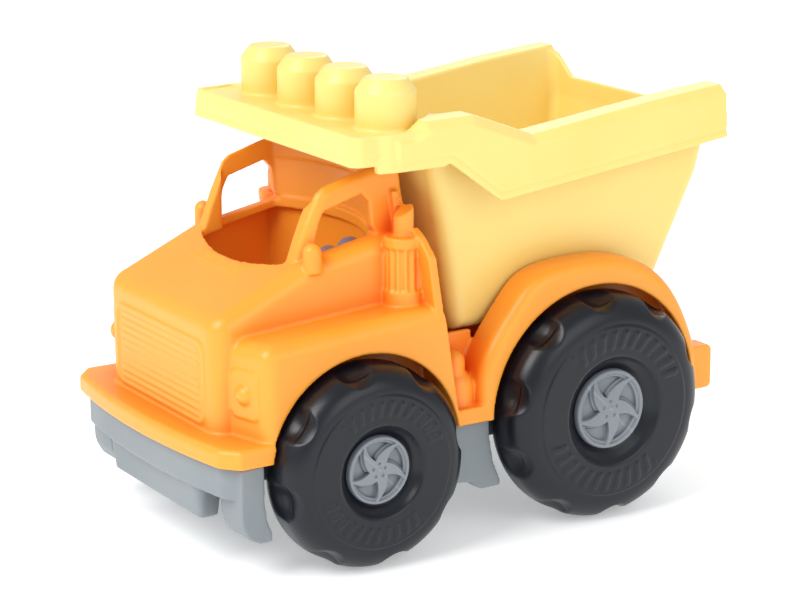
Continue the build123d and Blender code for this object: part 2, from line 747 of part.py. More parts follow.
# fine groove a little above the lower edge of the rims and of the canopy
groove_depth = 0.7
with BuildPart() as rim_groove:
    for side in (-1, 1):
        with BuildSketch(Plane.YZ.offset(side * (rim_outer_x - groove_depth))):
            with BuildLine():
                Polyline(
                    (aft(13), 164.3), (aft(41.4), 165.5), (aft(66), 147), (aft(183), 161),
                    (aft(183), 162.4), (aft(65.6), 148.6), (aft(41.8), 167), (aft(13), 165.7),
                    (aft(13), 164.3),
                )
            make_face()
        extrude(amount=side * 5)
    with BuildSketch(Plane.XY.offset(167.8)):
        with Locations((0, aft(-1))):
            Rectangle(160, 26)
        add(canopy_outline(1.5, aft(39)), mode=Mode.SUBTRACT)
    extrude(amount=1.3)

with BuildPart() as tipping_bed:
    add(dump_bed.part)
    add(bed_top_trim.part, mode=Mode.SUBTRACT)
    add(rim.part)
    add(canopy.part)
    add(rim_groove.part, mode=Mode.SUBTRACT)
    # four studs on the deck, the outer two clear of the side rims
    with Locations((0, aft(24), canopy_deck_z)):
        with GridLocations(stud_pitch, 1, 4, 1):
            Cylinder(stud_radius + 3, 10, align=on_base, mode=Mode.SUBTRACT)
    with Locations((0, aft(24), canopy_deck_z - 1)):
        with GridLocations(stud_pitch, 1, 4, 1):
            Cylinder(stud_radius, stud_height + 1, align=on_base)
    stud_rims = tipping_bed.edges().filter_by(GeomType.CIRCLE).filter_by(
        lambda edge: edge.center().Z > canopy_deck_z + stud_height - 0.1
    )
    chamfer(stud_rims, 5.5, 4)
    # each stud is hollow from below
    with Locations((0, aft(24), canopy_deck_z - bed_wall - 1)):
        with GridLocations(stud_pitch, 1, 4, 1):
            Cylinder(stud_radius - bed_wall, stud_height - 5, align=on_base, mode=Mode.SUBTRACT)
    # hinge lugs under the floor
    for side in (-1, 1):
        with BuildSketch(Plane.YZ.offset(side * hinge_ear_x - ear_thickness / 2)):
            with BuildLine():
                Polyline(
                    (hinge_y - 8, bed_floor_z + 1), (hinge_y - 4.5, hinge_z), (hinge_y + 4.5, hinge_z),
                    (hinge_y + 4.5, bed_floor_z + 1), (hinge_y - 8, bed_floor_z + 1),
                )
            make_face()
            with Locations((hinge_y, hinge_z)):
                Circle(4.5)
                Circle(hinge_pin_radius + running_clearance, mode=Mode.SUBTRACT)
        extrude(amount=ear_thickness)
tipping_bed.part.label = "dump_bed"
export_step(tipping_bed.part, "parts/dump_bed.step")

# ---------------------------------------------------------------- bed hinge
pin_end_x = hinge_ear_x + ear_thickness / 2 + 0.4 + 4 + 2.5
with BuildPart() as bed_hinge_pin:
    with BuildSketch(Plane.YZ.offset(-pin_end_x)):
        with Locations((hinge_y, hinge_z)):
            Circle(hinge_pin_radius)
    extrude(amount=2 * pin_end_x)
bed_hinge_pin.part.label = "bed_hinge_pin"
export_step(bed_hinge_pin.part, "parts/bed_hinge_pin.step")

with BuildPart() as hinge_pin_clips:
    for side in (-1, 1):
        with BuildSketch(Plane.YZ.offset(side * (pin_end_x - 2.2))):
            with Locations((hinge_y, hinge_z)):
                Circle(4.6)
                Circle(hinge_pin_radius, mode=Mode.SUBTRACT)
                with Locations((4, 0)):
                    Rectangle(5, 2, mode=Mode.SUBTRACT)
        extrude(amount=side * 1.0)
hinge_pin_clips.part.label = "hinge_pin_clips"
export_step(hinge_pin_clips.part, "parts/hinge_pin_clips.step")

# ---------------------------------------------------------------- wheels


def make_tyre(label, side, axle_y, axle_z, tyre_radius, core_radius, pockets, first_scoop):
    """Fat hollow tyre with scooped pockets round both shoulders, open towards its core."""
    step_radius = tyre_radius - 10.8
    lip_radius = core_radius + 7.2
    cavity_radius = tyre_radius - 11
    inner_x = side * wheel_inner_x
    outer_x = side * wheel_outer_x
    axle_plane = Plane(origin=(0, axle_y, axle_z), x_dir=(0, 0, 1), z_dir=(0, 1, 0))
    scoop_plane = Plane(
        origin=(outer_x - side * 6.5, axle_y, axle_z), x_dir=(0, 0, 1), z_dir=(1, 0, 0),
    )
    with BuildPart() as tyre:
        with BuildSketch(axle_plane):
            with BuildLine():
                inner_wall = Line((core_radius, inner_x), (tyre_radius - 9, inner_x))
                inner_shoulder = Spline(
                    inner_wall @ 1, (tyre_radius, inner_x + side * 7.5), tangents=((1, 0), (0, side)),
                )
                crown = Line(inner_shoulder @ 1, (tyre_radius, outer_x - side * 12))
                outer_shoulder = Spline(
                    crown @ 1, (tyre_radius - 3.2, outer_x - side * 4.8), (step_radius, outer_x - side),
                    tangents=((0, side), (-1, 0)),
                )
                Polyline(
                    outer_shoulder @ 1, (step_radius - 1, outer_x), (lip_radius, outer_x),
                    (lip_radius - 2, outer_x - side), (core_radius + 0.6, outer_x - side * 5.5),
                    (core_radius, outer_x - side * 5.5), (core_radius, inner_x + side * 18),
                    (cavity_radius, inner_x + side * 18), (cavity_radius, inner_x + side * 4),
                    (core_radius, inner_x + side * 4), (core_radius, inner_x),
                )
            make_face()
        revolve(axis=Axis((0, axle_y, axle_z), (1, 0, 0)))
        with Locations(scoop_plane):
            with PolarLocations(tyre_radius + 4.5, pockets, start_angle=first_scoop):
                Sphere(10, mode=Mode.SUBTRACT)
    tyre.part.label = label
    export_step(tyre.part, f"parts/{label}.step")


def make_core(label, side, axle_y, axle_z, core_radius):
    """Spool that carries the tyre and grips the axle."""
    inner_x = side * wheel_inner_x
    outer_x = side * (wheel_outer_x - 5.5)
    axle_plane = Plane(origin=(0, axle_y, axle_z), x_dir=(0, 0, 1), z_dir=(0, 1, 0))
    with BuildPart() as core:
        with BuildSketch(axle_plane):
            with BuildLine():
                Polyline(
                    (axle_radius, inner_x), (core_radius, inner_x), (core_radius, outer_x),
                    (core_radius - 2, outer_x), (core_radius - 2, inner_x + side * 3),
                    (6.5, inner_x + side * 3), (5.5, side * axle_end_x),
                    (axle_radius, side * axle_end_x), (axle_radius, inner_x),
                )
            make_face()
        revolve(axis=Axis((0, axle_y, axle_z), (1, 0, 0)))
    core.part.label = label
    export_step(core.part, f"parts/{label}.step")


def make_hubcap(label, side, axle_y, axle_z, cap_radius):
    """Pressed-in cap: rim bead, five raised swept spokes and a domed boss."""
    cap_plane = Plane(
        origin=(side * (wheel_outer_x - 5.4), axle_y, axle_z), x_dir=(0, side, 0), z_dir=(side, 0, 0),
    )
    with BuildSketch() as spoke:
        with BuildLine():
            leading = ThreePointArc(
                (0.2 * cap_radius, 0), (0.55 * cap_radius, 0.2 * cap_radius),
                (0.78 * cap_radius, 0.4 * cap_radius),
            )
            trailing = ThreePointArc(
                (0.4 * cap_radius, 0.78 * cap_radius), (0.3 * cap_radius, 0.4 * cap_radius),
                (0, 0.2 * cap_radius),
            )
            Line(leading @ 1, trailing @ 0)
            Line(trailing @ 1, leading @ 0)
        make_face()
    with BuildPart() as cap:
        with BuildSketch(cap_plane):
            Circle(cap_radius)
        extrude(amount=1.4)
        with BuildSketch(cap_plane.offset(1.4)):
            Circle(cap_radius)
            Circle(cap_radius - 2.2, mode=Mode.SUBTRACT)
        extrude(amount=1.2)
        with BuildSketch(cap_plane.offset(1.4)):
            with PolarLocations(0, 5):
                add(spoke.sketch)
            Circle(0.3 * cap_radius)
        extrude(amount=0.9)
        # plug that grips the inside of the core
        with BuildSketch(cap_plane):
            Circle(cap_radius - 2.6)
            Circle(cap_radius - 4.4, mode=Mode.SUBTRACT)
        extrude(amount=-3)
    cap.part.label = label
    export_step(cap.part, f"parts/{label}.step")


axles = {
    "front": (front_axle_y, front_axle_z, front_tyre_radius, front_core_radius, front_pockets, 11),
    "rear": (rear_axle_y, rear_axle_z, rear_tyre_radius, rear_core_radius, rear_pockets, 4),
}
for end, (axle_y, axle_z, tyre_radius, core_radius, pockets, first_scoop) in axles.items():
    for hand, side in (("left", 1), ("right", -1)):
        label = f"{end}_{hand}_tyre"
        make_tyre(label, side, axle_y, axle_z, tyre_radius, core_radius, pockets, first_scoop)
        make_core(f"{end}_{hand}_wheel_core", side, axle_y, axle_z, core_radius)
        make_hubcap(f"{end}_{hand}_hubcap", side, axle_y, axle_z, core_radius)
    with BuildPart() as axle:
        with BuildSketch(Plane.YZ.offset(-axle_end_x)):
            with Locations((axle_y, axle_z)):
                Circle(axle_radius)
        extrude(amount=2 * axle_end_x)
    axle.part.label = f"{end}_axle"
    export_step(axle.part, f"parts/{end}_axle.step")
    # plain bushes pressed into the chassis
    with BuildPart() as bushes:
        for side in (-1, 1):
            with BuildSketch(Plane.YZ.offset(side * bearing_inner_x)):
                with Locations((axle_y, axle_z)):
                    Circle(bush_radius)
                    Circle(axle_radius + running_clearance, mode=Mode.SUBTRACT)
            extrude(amount=side * (chassis_half_width - bearing_inner_x))
    bushes.part.label = f"{end}_axle_bushes"
    export_step(bushes.part, f"parts/{end}_axle_bushes.step")
    # loose spacer washers between the chassis and the wheels
    with BuildPart() as washers:
        for side in (-1, 1):
            with BuildSketch(Plane.YZ.offset(side * (chassis_half_width + 0.2))):
                with Locations((axle_y, axle_z)):
                    Circle(5)
                    Circle(axle_radius, mode=Mode.SUBTRACT)
            extrude(amount=side * 0.9)
    washers.part.label = f"{end}_axle_washers"
    export_step(washers.part, f"parts/{end}_axle_washers.step")

# ---------------------------------------------------------------- body screws, all alike
with BuildPart() as body_screws:
    for side in (-1, 1):
        for spot_x, spot_y in screw_spots:
            with Locations((side * spot_x, spot_y, chassis_bottom_z + 5)):
                Cylinder(screw_shank_radius, 14, align=on_base)
                Cylinder(2.9, 2, align=(Align.CENTER, Align.CENTER, Align.MAX))
                with Locations((0, 0, -2)):
                    Box(3.6, 0.7, 1.2, align=on_base, mode=Mode.SUBTRACT)
                    Box(0.7, 3.6, 1.2, align=on_base, mode=Mode.SUBTRACT)
body_screws.part.label = "body_screws"
export_step(body_screws.part, "parts/body_screws.step")

# ---------------------------------------------------------------- driver, a plain rounded animal
with BuildPart() as driver_figure:
    with Locations((driver_x, driver_y, cab_floor_z + 6)):
        Cylinder(8.5, 13.6, align=on_base)
        with Locations((0, 0, 13.6)):
            Sphere(8.5)
    with Locations((driver_x, driver_y, 114.4)):
        Sphere(9.6)
    # muzzle and brow
    with Locations((driver_x, driver_y - 8.5, 110.7)):
        Sphere(6.5)
    for side in (-1, 1):
        with Locations((driver_x + side * 4.5, driver_y - 3.5, 118.7)):
            Sphere(5.2)
        # ears
        with Locations((driver_x + side * 5, driver_y + 6.8, 120.8)):
            Sphere(5.4)
driver_figure.part.label = "driver_figure"
export_step(driver_figure.part, "parts/driver_figure.step")
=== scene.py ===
"""Looks of the toy dump truck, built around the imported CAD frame.

Lengths are metres in the row frame: the truck drives towards -Y, its left side faces +X, +Z is up.
"""

import json
import math

import bmesh
import bpy
from mathutils import Matrix, Vector


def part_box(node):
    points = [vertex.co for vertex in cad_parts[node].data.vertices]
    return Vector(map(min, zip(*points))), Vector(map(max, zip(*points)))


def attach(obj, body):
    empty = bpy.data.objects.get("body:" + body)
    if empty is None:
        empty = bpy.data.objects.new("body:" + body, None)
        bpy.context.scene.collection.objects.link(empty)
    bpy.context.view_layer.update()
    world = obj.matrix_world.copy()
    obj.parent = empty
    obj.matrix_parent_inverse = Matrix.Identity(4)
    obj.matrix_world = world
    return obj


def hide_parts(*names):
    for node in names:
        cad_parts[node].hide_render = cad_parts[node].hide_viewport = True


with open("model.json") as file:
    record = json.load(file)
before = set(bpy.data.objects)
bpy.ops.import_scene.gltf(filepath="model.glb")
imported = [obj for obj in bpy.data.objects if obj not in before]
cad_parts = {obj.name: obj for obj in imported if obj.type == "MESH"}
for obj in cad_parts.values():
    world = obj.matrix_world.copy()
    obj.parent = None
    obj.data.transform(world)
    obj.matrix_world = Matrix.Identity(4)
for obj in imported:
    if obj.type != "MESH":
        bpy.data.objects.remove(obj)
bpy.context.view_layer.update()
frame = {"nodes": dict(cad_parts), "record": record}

MM = 0.001
TAU = 2 * math.pi


# ---------------------------------------------------------------- mesh helpers
def add_object(name, mesh):
    """Link a mesh into the scene as a new object."""
    piece = bpy.data.objects.new(name, mesh)
    bpy.context.scene.collection.objects.link(piece)
    return piece


def shade_smooth(mesh):
    """Shade every face of a mesh smooth."""
    mesh.polygons.foreach_set("use_smooth", [True] * len(mesh.polygons))


def apply_modifiers(piece):
    """Replace the piece's mesh by what its modifiers make of it."""
    graph = bpy.context.evaluated_depsgraph_get()
    mesh = bpy.data.meshes.new_from_object(piece.evaluated_get(graph))
    piece.modifiers.clear()
    piece.data = mesh
    return piece


def moulded(name, node, voxel, rounds):
    """Copy a CAD node and soften every edge as injection moulding does."""
    joined = bmesh.new()
    joined.from_mesh(frame["nodes"][node].data)
    bmesh.ops.remove_doubles(joined, verts=joined.verts, dist=1e-6)
    mesh = bpy.data.meshes.new(name)
    joined.to_mesh(mesh)
    joined.free()
    piece = add_object(name, mesh)
    remesh = piece.modifiers.new("fuse", "REMESH")
    remesh.mode = "VOXEL"
    remesh.voxel_size = voxel
    remesh.use_smooth_shade = True
    soften = piece.modifiers.new("soften", "SMOOTH")
    soften.factor = 0.5
    soften.iterations = rounds
    apply_modifiers(piece)
    shade_smooth(piece.data)
    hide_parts(node)
    return piece


def body_of_node(node):
    """Name of the CAD body that a node belongs to."""
    for body, members in frame["record"]["behaviour"]["bodies"].items():
        if node in members:
            return body
    raise ValueError(node)


def finish_piece(piece, node, material):
    """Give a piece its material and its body."""
    piece.data.materials.clear()
    piece.data.materials.append(material)
    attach(piece, body_of_node(node))
    return piece


# ---------------------------------------------------------------- materials
def srgb(red, green, blue):
    """Linear colour from 0-255 screen values."""
    def linear(value):
        share = value / 255
        return share / 12.92 if share <= 0.04045 else ((share + 0.055) / 1.055) ** 2.4
    return (linear(red), linear(green), linear(blue), 1)


def plastic(name, main, pale, deep, roughness, grain, translucency=0.0, scatter=(1, 0.5, 0.2),
            wear=0.25, painted_hollow_shade=(0, 0, 0, 1), painted_shade_share=0.0, painted_shade_reach=5 * MM, specular=0.5):
    """Moulded plastic: drifting colour, flow marks, satin grain, paler rubbed edges, painted shade in hollows."""
    material = bpy.data.materials.new(name)
    material.use_nodes = True
    nodes = material.node_tree.nodes
    links = material.node_tree.links
    shader = nodes["Principled BSDF"]
    place = nodes.new("ShaderNodeTexCoord")

    drift = nodes.new("ShaderNodeTexNoise")
    drift.inputs["Scale"].default_value = 14
    drift.inputs["Detail"].default_value = 3
    links.new(place.outputs["Object"], drift.inputs["Vector"])
    tone = nodes.new("ShaderNodeMix")
    tone.data_type = "RGBA"
    tone.inputs["A"].default_value = deep
    tone.inputs["B"].default_value = main
    spread = nodes.new("ShaderNodeMapRange")
    spread.inputs["From Min"].default_value = 0.25
    spread.inputs["From Max"].default_value = 0.6
    links.new(drift.outputs["Fac"], spread.inputs["Value"])
    links.new(spread.outputs["Result"], tone.inputs["Factor"])

    # rubbed convex edges are a little paler
    shape = nodes.new("ShaderNodeNewGeometry")
    edge = nodes.new("ShaderNodeMapRange")
    edge.inputs["From Min"].default_value = 0.505
    edge.inputs["From Max"].default_value = 0.56
    edge.inputs["To Max"].default_value = wear
    links.new(shape.outputs["Pointiness"], edge.inputs["Value"])
    rubbed = nodes.new("ShaderNodeMix")
    rubbed.data_type = "RGBA"
    rubbed.inputs["B"].default_value = pale
    links.new(tone.outputs["Result"], rubbed.inputs["A"])
    links.new(edge.outputs["Result"], rubbed.inputs["Factor"])
    # painted shade: hollows found by local ambient occlusion turn towards a painted shade colour
    openness = nodes.new("ShaderNodeAmbientOcclusion")
    openness.only_local = True
    openness.samples = 8
    openness.inputs["Distance"].default_value = painted_shade_reach
    painted_shade_amount = nodes.new("ShaderNodeMapRange")
    painted_shade_amount.inputs["From Min"].default_value = 0.25
    painted_shade_amount.inputs["From Max"].default_value = 0.85
    painted_shade_amount.inputs["To Min"].default_value = 1 - painted_shade_share
    links.new(openness.outputs["AO"], painted_shade_amount.inputs["Value"])
    painted_shade_mix = nodes.new("ShaderNodeMix")
    painted_shade_mix.data_type = "RGBA"
    painted_shade_mix.inputs["A"].default_value = painted_hollow_shade
    links.new(rubbed.outputs["Result"], painted_shade_mix.inputs["B"])
    links.new(painted_shade_amount.outputs["Result"], painted_shade_mix.inputs["Factor"])
    links.new(painted_shade_mix.outputs["Result"], shader.inputs["Base Color"])

    # satin grain with larger, calmer waves under it
    fine = nodes.new("ShaderNodeTexNoise")
    fine.inputs["Scale"].default_value = 1600
    fine.inputs["Detail"].default_value = 2
    links.new(place.outputs["Object"], fine.inputs["Vector"])
    wave = nodes.new("ShaderNodeTexNoise")
    wave.inputs["Scale"].default_value = 55
    wave.inputs["Detail"].default_value = 1
    links.new(place.outputs["Object"], wave.inputs["Vector"])
    bump_fine = nodes.new("ShaderNodeBump")
    bump_fine.inputs["Strength"].default_value = grain
    bump_fine.inputs["Distance"].default_value = 0.00005
    links.new(fine.outputs["Fac"], bump_fine.inputs["Height"])
    bump_wave = nodes.new("ShaderNodeBump")
    bump_wave.inputs["Strength"].default_value = 0.25
    bump_wave.inputs["Distance"].default_value = 0.0004
    links.new(wave.outputs["Fac"], bump_wave.inputs["Height"])
    links.new(bump_fine.outputs["Normal"], bump_wave.inputs["Normal"])
    links.new(bump_wave.outputs["Normal"], shader.inputs["Normal"])

    patchy = nodes.new("ShaderNodeMapRange")
    patchy.inputs["To Min"].default_value = roughness - 0.05
    patchy.inputs["To Max"].default_value = roughness + 0.07
    links.new(wave.outputs["Fac"], patchy.inputs["Value"])
    links.new(patchy.outputs["Result"], shader.inputs["Roughness"])

    shader.inputs["Subsurface Weight"].default_value = translucency
    shader.inputs["Subsurface Radius"].default_value = scatter
    shader.inputs["Subsurface Scale"].default_value = 0.006
    shader.inputs["IOR"].default_value = 1.49
    shader.inputs["Specular IOR Level"].default_value = specular
    return material


def metal(name, colour, roughness):
    """Zinc-plated or bright steel with fine drawn lines."""
    material = bpy.data.materials.new(name)
    material.use_nodes = True
    nodes = material.node_tree.nodes
    links = material.node_tree.links
    shader = nodes["Principled BSDF"]
    shader.inputs["Metallic"].default_value = 1
    place = nodes.new("ShaderNodeTexCoord")
    stretch = nodes.new("ShaderNodeMapping")
    stretch.inputs["Scale"].default_value = (40, 900, 900)
    lines = nodes.new("ShaderNodeTexNoise")
    lines.inputs["Scale"].default_value = 3
    links.new(place.outputs["Object"], stretch.inputs["Vector"])
    links.new(stretch.outputs["Vector"], lines.inputs["Vector"])
    shade = nodes.new("ShaderNodeMix")
    shade.data_type = "RGBA"
    shade.inputs["A"].default_value = tuple(0.7 * part for part in colour[:3]) + (1,)
    shade.inputs["B"].default_value = colour
    links.new(lines.outputs["Fac"], shade.inputs["Factor"])
    links.new(shade.outputs["Result"], shader.inputs["Base Color"])
    rough = nodes.new("ShaderNodeMapRange")
    rough.inputs["To Min"].default_value = roughness - 0.08
    rough.inputs["To Max"].default_value = roughness + 0.12
    links.new(lines.outputs["Fac"], rough.inputs["Value"])
    links.new(rough.outputs["Result"], shader.inputs["Roughness"])
    return material


# the orange's hollow colour is painted shade mixed with painted orange bounce light, deepest inside the cab
orange = plastic(
    "orange_plastic", srgb(255, 164, 52), srgb(255, 184, 86), srgb(254, 156, 43), roughness=0.36, grain=0.25,
    translucency=0.08, scatter=(1, 0.35, 0.08), wear=0.15, painted_hollow_shade=srgb(246, 96, 6), painted_shade_share=0.75,
    painted_shade_reach=30 * MM,
)
# the yellow's hollow colour is painted shade
yellow = plastic(
    "yellow_plastic", srgb(246, 219, 128), srgb(250, 234, 168), srgb(242, 212, 116), roughness=0.34, grain=0.2,
    wear=0.2, painted_hollow_shade=srgb(240, 198, 88), painted_shade_share=0.5, painted_shade_reach=30 * MM,
)
# the grey's hollow colour is painted shade
grey = plastic(
    "grey_plastic", srgb(136, 144, 148), srgb(165, 171, 174), srgb(120, 128, 133), roughness=0.42, grain=0.4,
    painted_hollow_shade=srgb(46, 49, 50), painted_shade_share=0.2,
)
tyre_black = plastic(
    "tyre_black", srgb(17, 20, 28), srgb(36, 40, 50), srgb(12, 15, 22), roughness=0.3, grain=0.5, specular=0.42,
)
core_black = plastic(
    "core_black", srgb(40, 40, 43), srgb(60, 60, 64), srgb(32, 32, 35), roughness=0.5, grain=0.4,
)
# the silver's hollow colour is painted shade in the hubcap recesses
silver = plastic(
    "silver_plastic", srgb(132, 138, 145), srgb(176, 180, 190), srgb(116, 122, 129), roughness=0.3, grain=0.3,
    painted_hollow_shade=srgb(44, 46, 49), painted_shade_share=0.8,
)
nylon = plastic(
    "natural_nylon", srgb(225, 224, 216), srgb(240, 240, 235), srgb(210, 208, 198), roughness=0.45, grain=0.3,
)
pearl_grey = plastic(
    "pearl_grey", srgb(122, 116, 130), srgb(180, 176, 192), srgb(98, 92, 106), roughness=0.28, grain=0.3,
)
eye_white = plastic(
    "eye_white", srgb(238, 238, 238), srgb(250, 250, 250), srgb(225, 225, 228), roughness=0.25, grain=0.1,
)
eye_dark = plastic(
    "eye_dark", srgb(18, 16, 18), srgb(40, 36, 40), srgb(10, 10, 10), roughness=0.15, grain=0.1,
)
steel = metal("zinc_steel", (0.62, 0.62, 0.64, 1), 0.3)


# ---------------------------------------------------------------- tyres
def closed_ring_mesh(name, rings, closed=True):
    """Skin a list of vertex rings; each ring is a closed loop, and the rings close on themselves."""
    count = len(rings)
    segments = len(rings[0])
    mesh = bpy.data.meshes.new(name)
    vertices = [point for ring in rings for point in ring]
    faces = []
    for ring in range(count if closed else count - 1):
        following = (ring + 1) % count
        for segment in range(segments):
            beside = (segment + 1) % segments
            faces.append((
                ring * segments + segment, ring * segments + beside,
                following * segments + beside, following * segments + segment,
            ))
    mesh.from_pydata(vertices, [], faces)
    mesh.validate()
    shaped = bmesh.new()
    shaped.from_mesh(mesh)
    bmesh.ops.recalc_face_normals(shaped, faces=shaped.faces)
    shaped.to_mesh(mesh)
    shaped.free()
    shade_smooth(mesh)
    return mesh


def smooth_step(edge_low, edge_high, value):
    """Smooth ramp from 0 to 1 between two edges."""
    share = min(max((value - edge_low) / (edge_high - edge_low), 0), 1)
    return share * share * (3 - 2 * share)


def line_points(start, end, count):
    """Points from start up to, not including, end."""
    return [
        (start[0] + (end[0] - start[0]) * step / count, start[1] + (end[1] - start[1]) * step / count)
        for step in range(count)
    ]


def quarter_ellipse(centre, half_depth, half_height, start_angle, end_angle, count):
    """Points on an ellipse arc, not including its end."""
    points = []
    for step in range(count):
        angle = start_angle + (end_angle - start_angle) * step / count
        points.append((centre[0] + half_depth * math.cos(angle), centre[1] + half_height * math.sin(angle)))
    return points


def tyre_section(tyre_radius, core_radius, step_radius, lip_radius, width):
    """Closed section through one side as (depth behind the outer face, radius), in millimetres."""
    shoulder_depth = 12.0
    section = line_points((5.5, core_radius), (5.2, core_radius + 0.9), 2)
    section += line_points((5.2, core_radius + 0.9), (1.5, lip_radius - 1.8), 6)
    section += quarter_ellipse((1.7, lip_radius), 1.7, 1.9, -1.9, -math.pi, 5)[1:]
    section += line_points((0, lip_radius), (0, step_radius - 0.6), 18)
    section += line_points((0, step_radius - 0.6), (0.55, step_radius), 2)
    section += quarter_ellipse(
        (shoulder_depth, step_radius), shoulder_depth - 0.55, tyre_radius - step_radius, math.pi, math.pi / 2, 30,
    )
    section += line_points((shoulder_depth, tyre_radius), (width - 9, tyre_radius), 8)
    section += quarter_ellipse(
        (width - 9, tyre_radius - 9), 9, 9, math.pi / 2, 0, 12,
    )
    section += line_points((width, tyre_radius - 9), (width, core_radius), 6)
    section += line_points((width, core_radius), (5.5, core_radius), 6)
    return section


def make_tyre(name, node, wheel):
    """Balloon tyre with spoon-shaped scoops round its shoulder and plain raised bars on its side."""
    tyre_radius, core_radius, step_radius, lip_radius, pockets, first_pocket, pocket_foot = wheel
    low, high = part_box(node)
    centre = (low + high) / 2
    side = 1 if centre.x > 0 else -1
    outer_x = max(abs(low.x), abs(high.x))
    width = (high.x - low.x) / MM
    section = tyre_section(tyre_radius, core_radius, step_radius, lip_radius, width)
    segments = 360
    rings = []
    previous = section[-1]
    for index, (depth, radius) in enumerate(section):
        following = section[(index + 1) % len(section)]
        tangent = Vector((following[0] - previous[0], following[1] - previous[1])).normalized()
        inward = Vector((-tangent.y, tangent.x))
        middle = Vector((14, (tyre_radius + core_radius) / 2))
        if inward.dot(middle - Vector((depth, radius))) < 0:
            inward = -inward
        previous = (depth, radius)
        ring = []
        for segment in range(segments):
            angle = TAU * segment / segments
            sink = pocket_depth(depth, radius, angle, pockets, first_pocket, pocket_foot)
            sink -= side_bars(depth, radius, angle, lip_radius, step_radius)
            at_depth = depth + inward.x * sink
            at_radius = radius + inward.y * sink
            ring.append((
                side * (outer_x - at_depth * MM),
                centre.y - math.sin(angle) * at_radius * MM,
                centre.z + math.cos(angle) * at_radius * MM,
            ))
        rings.append(ring)
    return add_object(name, closed_ring_mesh(name, rings))


def pocket_depth(depth, radius, angle, pockets, first_pocket, foot):
    """How far a point of the tyre sinks into the nearest scoop."""
    half_width = 7.8
    deepest = 3.5
    tread_end = 19
    if radius < foot or depth > tread_end:
        return 0
    spacing = TAU / pockets
    offset = (angle - first_pocket + spacing / 2) % spacing - spacing / 2
    across = abs(offset) * radius
    climb = (radius - foot) + max(0, depth - 6) * 0.9
    round_end = half_width * 0.95
    reach = min(climb / round_end, 1)
    width_here = half_width * math.sqrt(max(1 - (1 - reach) ** 2, 0))
    if across >= width_here or width_here < 1e-6:
        return 0
    bowl = 1 - (across / width_here) ** 2
    fade = 1 - smooth_step(9, tread_end, depth)
    return deepest * bowl * min(reach * 1.3, 1) * fade


def side_bars(depth, radius, angle, lip_radius, step_radius):
    """Two arcs of plain raised bars on the flat ring of the side wall."""
    ring_low = lip_radius + 2.4
    ring_high = step_radius - 2.4
    if depth > 0.4 or not ring_low < radius < ring_high:
        return 0
    swing = (math.degrees(angle) + 70) % 180
    if swing > 110:
        return 0
    pitch = 10
    lean = (radius - ring_low) * 0.5
    within = abs((swing + lean) % pitch - pitch / 2)
    radial = min(radius - ring_low, ring_high - radius)
    return 0.45 * (1 - smooth_step(2.2, 2.8, within)) * smooth_step(0, 0.4, radial)


# radii of tyre, core, step and lip, then scoops, angle of the first scoop and radius of their feet
wheels = {
    "front": (42.6, 14.5, 32.5, 20.8, 8, math.radians(11), 36.9),
    "rear": (49.1, 17.5, 37.6, 25.0, 10, math.radians(4), 43.2),
}


# ---------------------------------------------------------------- hubcaps
def cap_height(radius_share, angle):
    """Height of the cap face, in millimetres above its floor."""
    if radius_share > 0.9:
        return 0.5 + smooth_step(0.86, 0.9, radius_share) * (1 - smooth_step(0.965, 1.0, radius_share))
    sector = TAU / 5
    swirl = angle + 0.8 * radius_share
    offset = (swirl + sector / 2) % sector - sector / 2
    across = offset * radius_share
    # each spoke is a swept fin that narrows towards a point at the rim
    half_width = 0.05 + 0.17 * max(0, 1 - (radius_share - 0.2) / 0.62)
    spoke = 1 - smooth_step(half_width, half_width + 0.04, abs(across))
    hub = 1 - smooth_step(0.24, 0.30, radius_share)
    ring = smooth_step(0.79, 0.83, radius_share)
    floor = -1.3
    # a lower crescent beside one flank of the spoke
    if across > 0:
        floor += 1.2 * (1 - smooth_step(half_width + 0.08, half_width + 0.13, across))
    raised = max(spoke, hub)
    height = floor + (1.2 - floor) * raised
    height = max(height, -1.3 + 1.7 * ring)
    # small lug dimples between the spokes and the domed centre
    spread = (angle + sector / 2) % sector - sector / 2
    lug = math.hypot(radius_share * math.cos(spread) - 0.2, radius_share * math.sin(spread))
    height -= 0.5 * (1 - smooth_step(0.03, 0.055, lug))
    height += 0.35 * (1 - smooth_step(0.05, 0.11, radius_share))
    return 0.15 + height


def make_hubcap(name, node):
    """Face of the hubcap as a fine relief over a short plug."""
    low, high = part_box(node)
    centre = (low + high) / 2
    side = 1 if centre.x > 0 else -1
    radius = (high.z - low.z) / 2 - 0.1 * MM
    face_x = max(abs(low.x), abs(high.x)) - 1.75 * MM
    segments = 240
    circles = 64
    rings = []
    for circle in range(1, circles + 1):
        share = circle / circles
        ring = []
        for segment in range(segments):
            angle = TAU * segment / segments
            ring.append((
                side * (face_x + cap_height(share, angle) * MM),
                centre.y - math.sin(angle) * share * radius,
                centre.z + math.cos(angle) * share * radius,
            ))
        rings.append(ring)
    for back_x in (face_x - 0.9 * MM, face_x - 3.6 * MM):
        rings.append([(side * back_x, y, z) for _, y, z in rings[circles - 1]])
    mesh = closed_ring_mesh(name, rings, closed=False)
    solid = bmesh.new()
    solid.from_mesh(mesh)
    solid.verts.ensure_lookup_table()
    for ring_start, x in ((0, face_x + cap_height(0, 0) * MM), ((len(rings) - 1) * segments, face_x - 3.6 * MM)):
        hub = solid.verts.new((side * x, centre.y, centre.z))
        solid.verts.ensure_lookup_table()
        for segment in range(segments):
            beside = (segment + 1) % segments
            solid.faces.new((solid.verts[ring_start + segment], solid.verts[ring_start + beside], hub))
    bmesh.ops.recalc_face_normals(solid, faces=solid.faces)
    solid.to_mesh(mesh)
    solid.free()
    shade_smooth(mesh)
    return add_object(name, mesh)


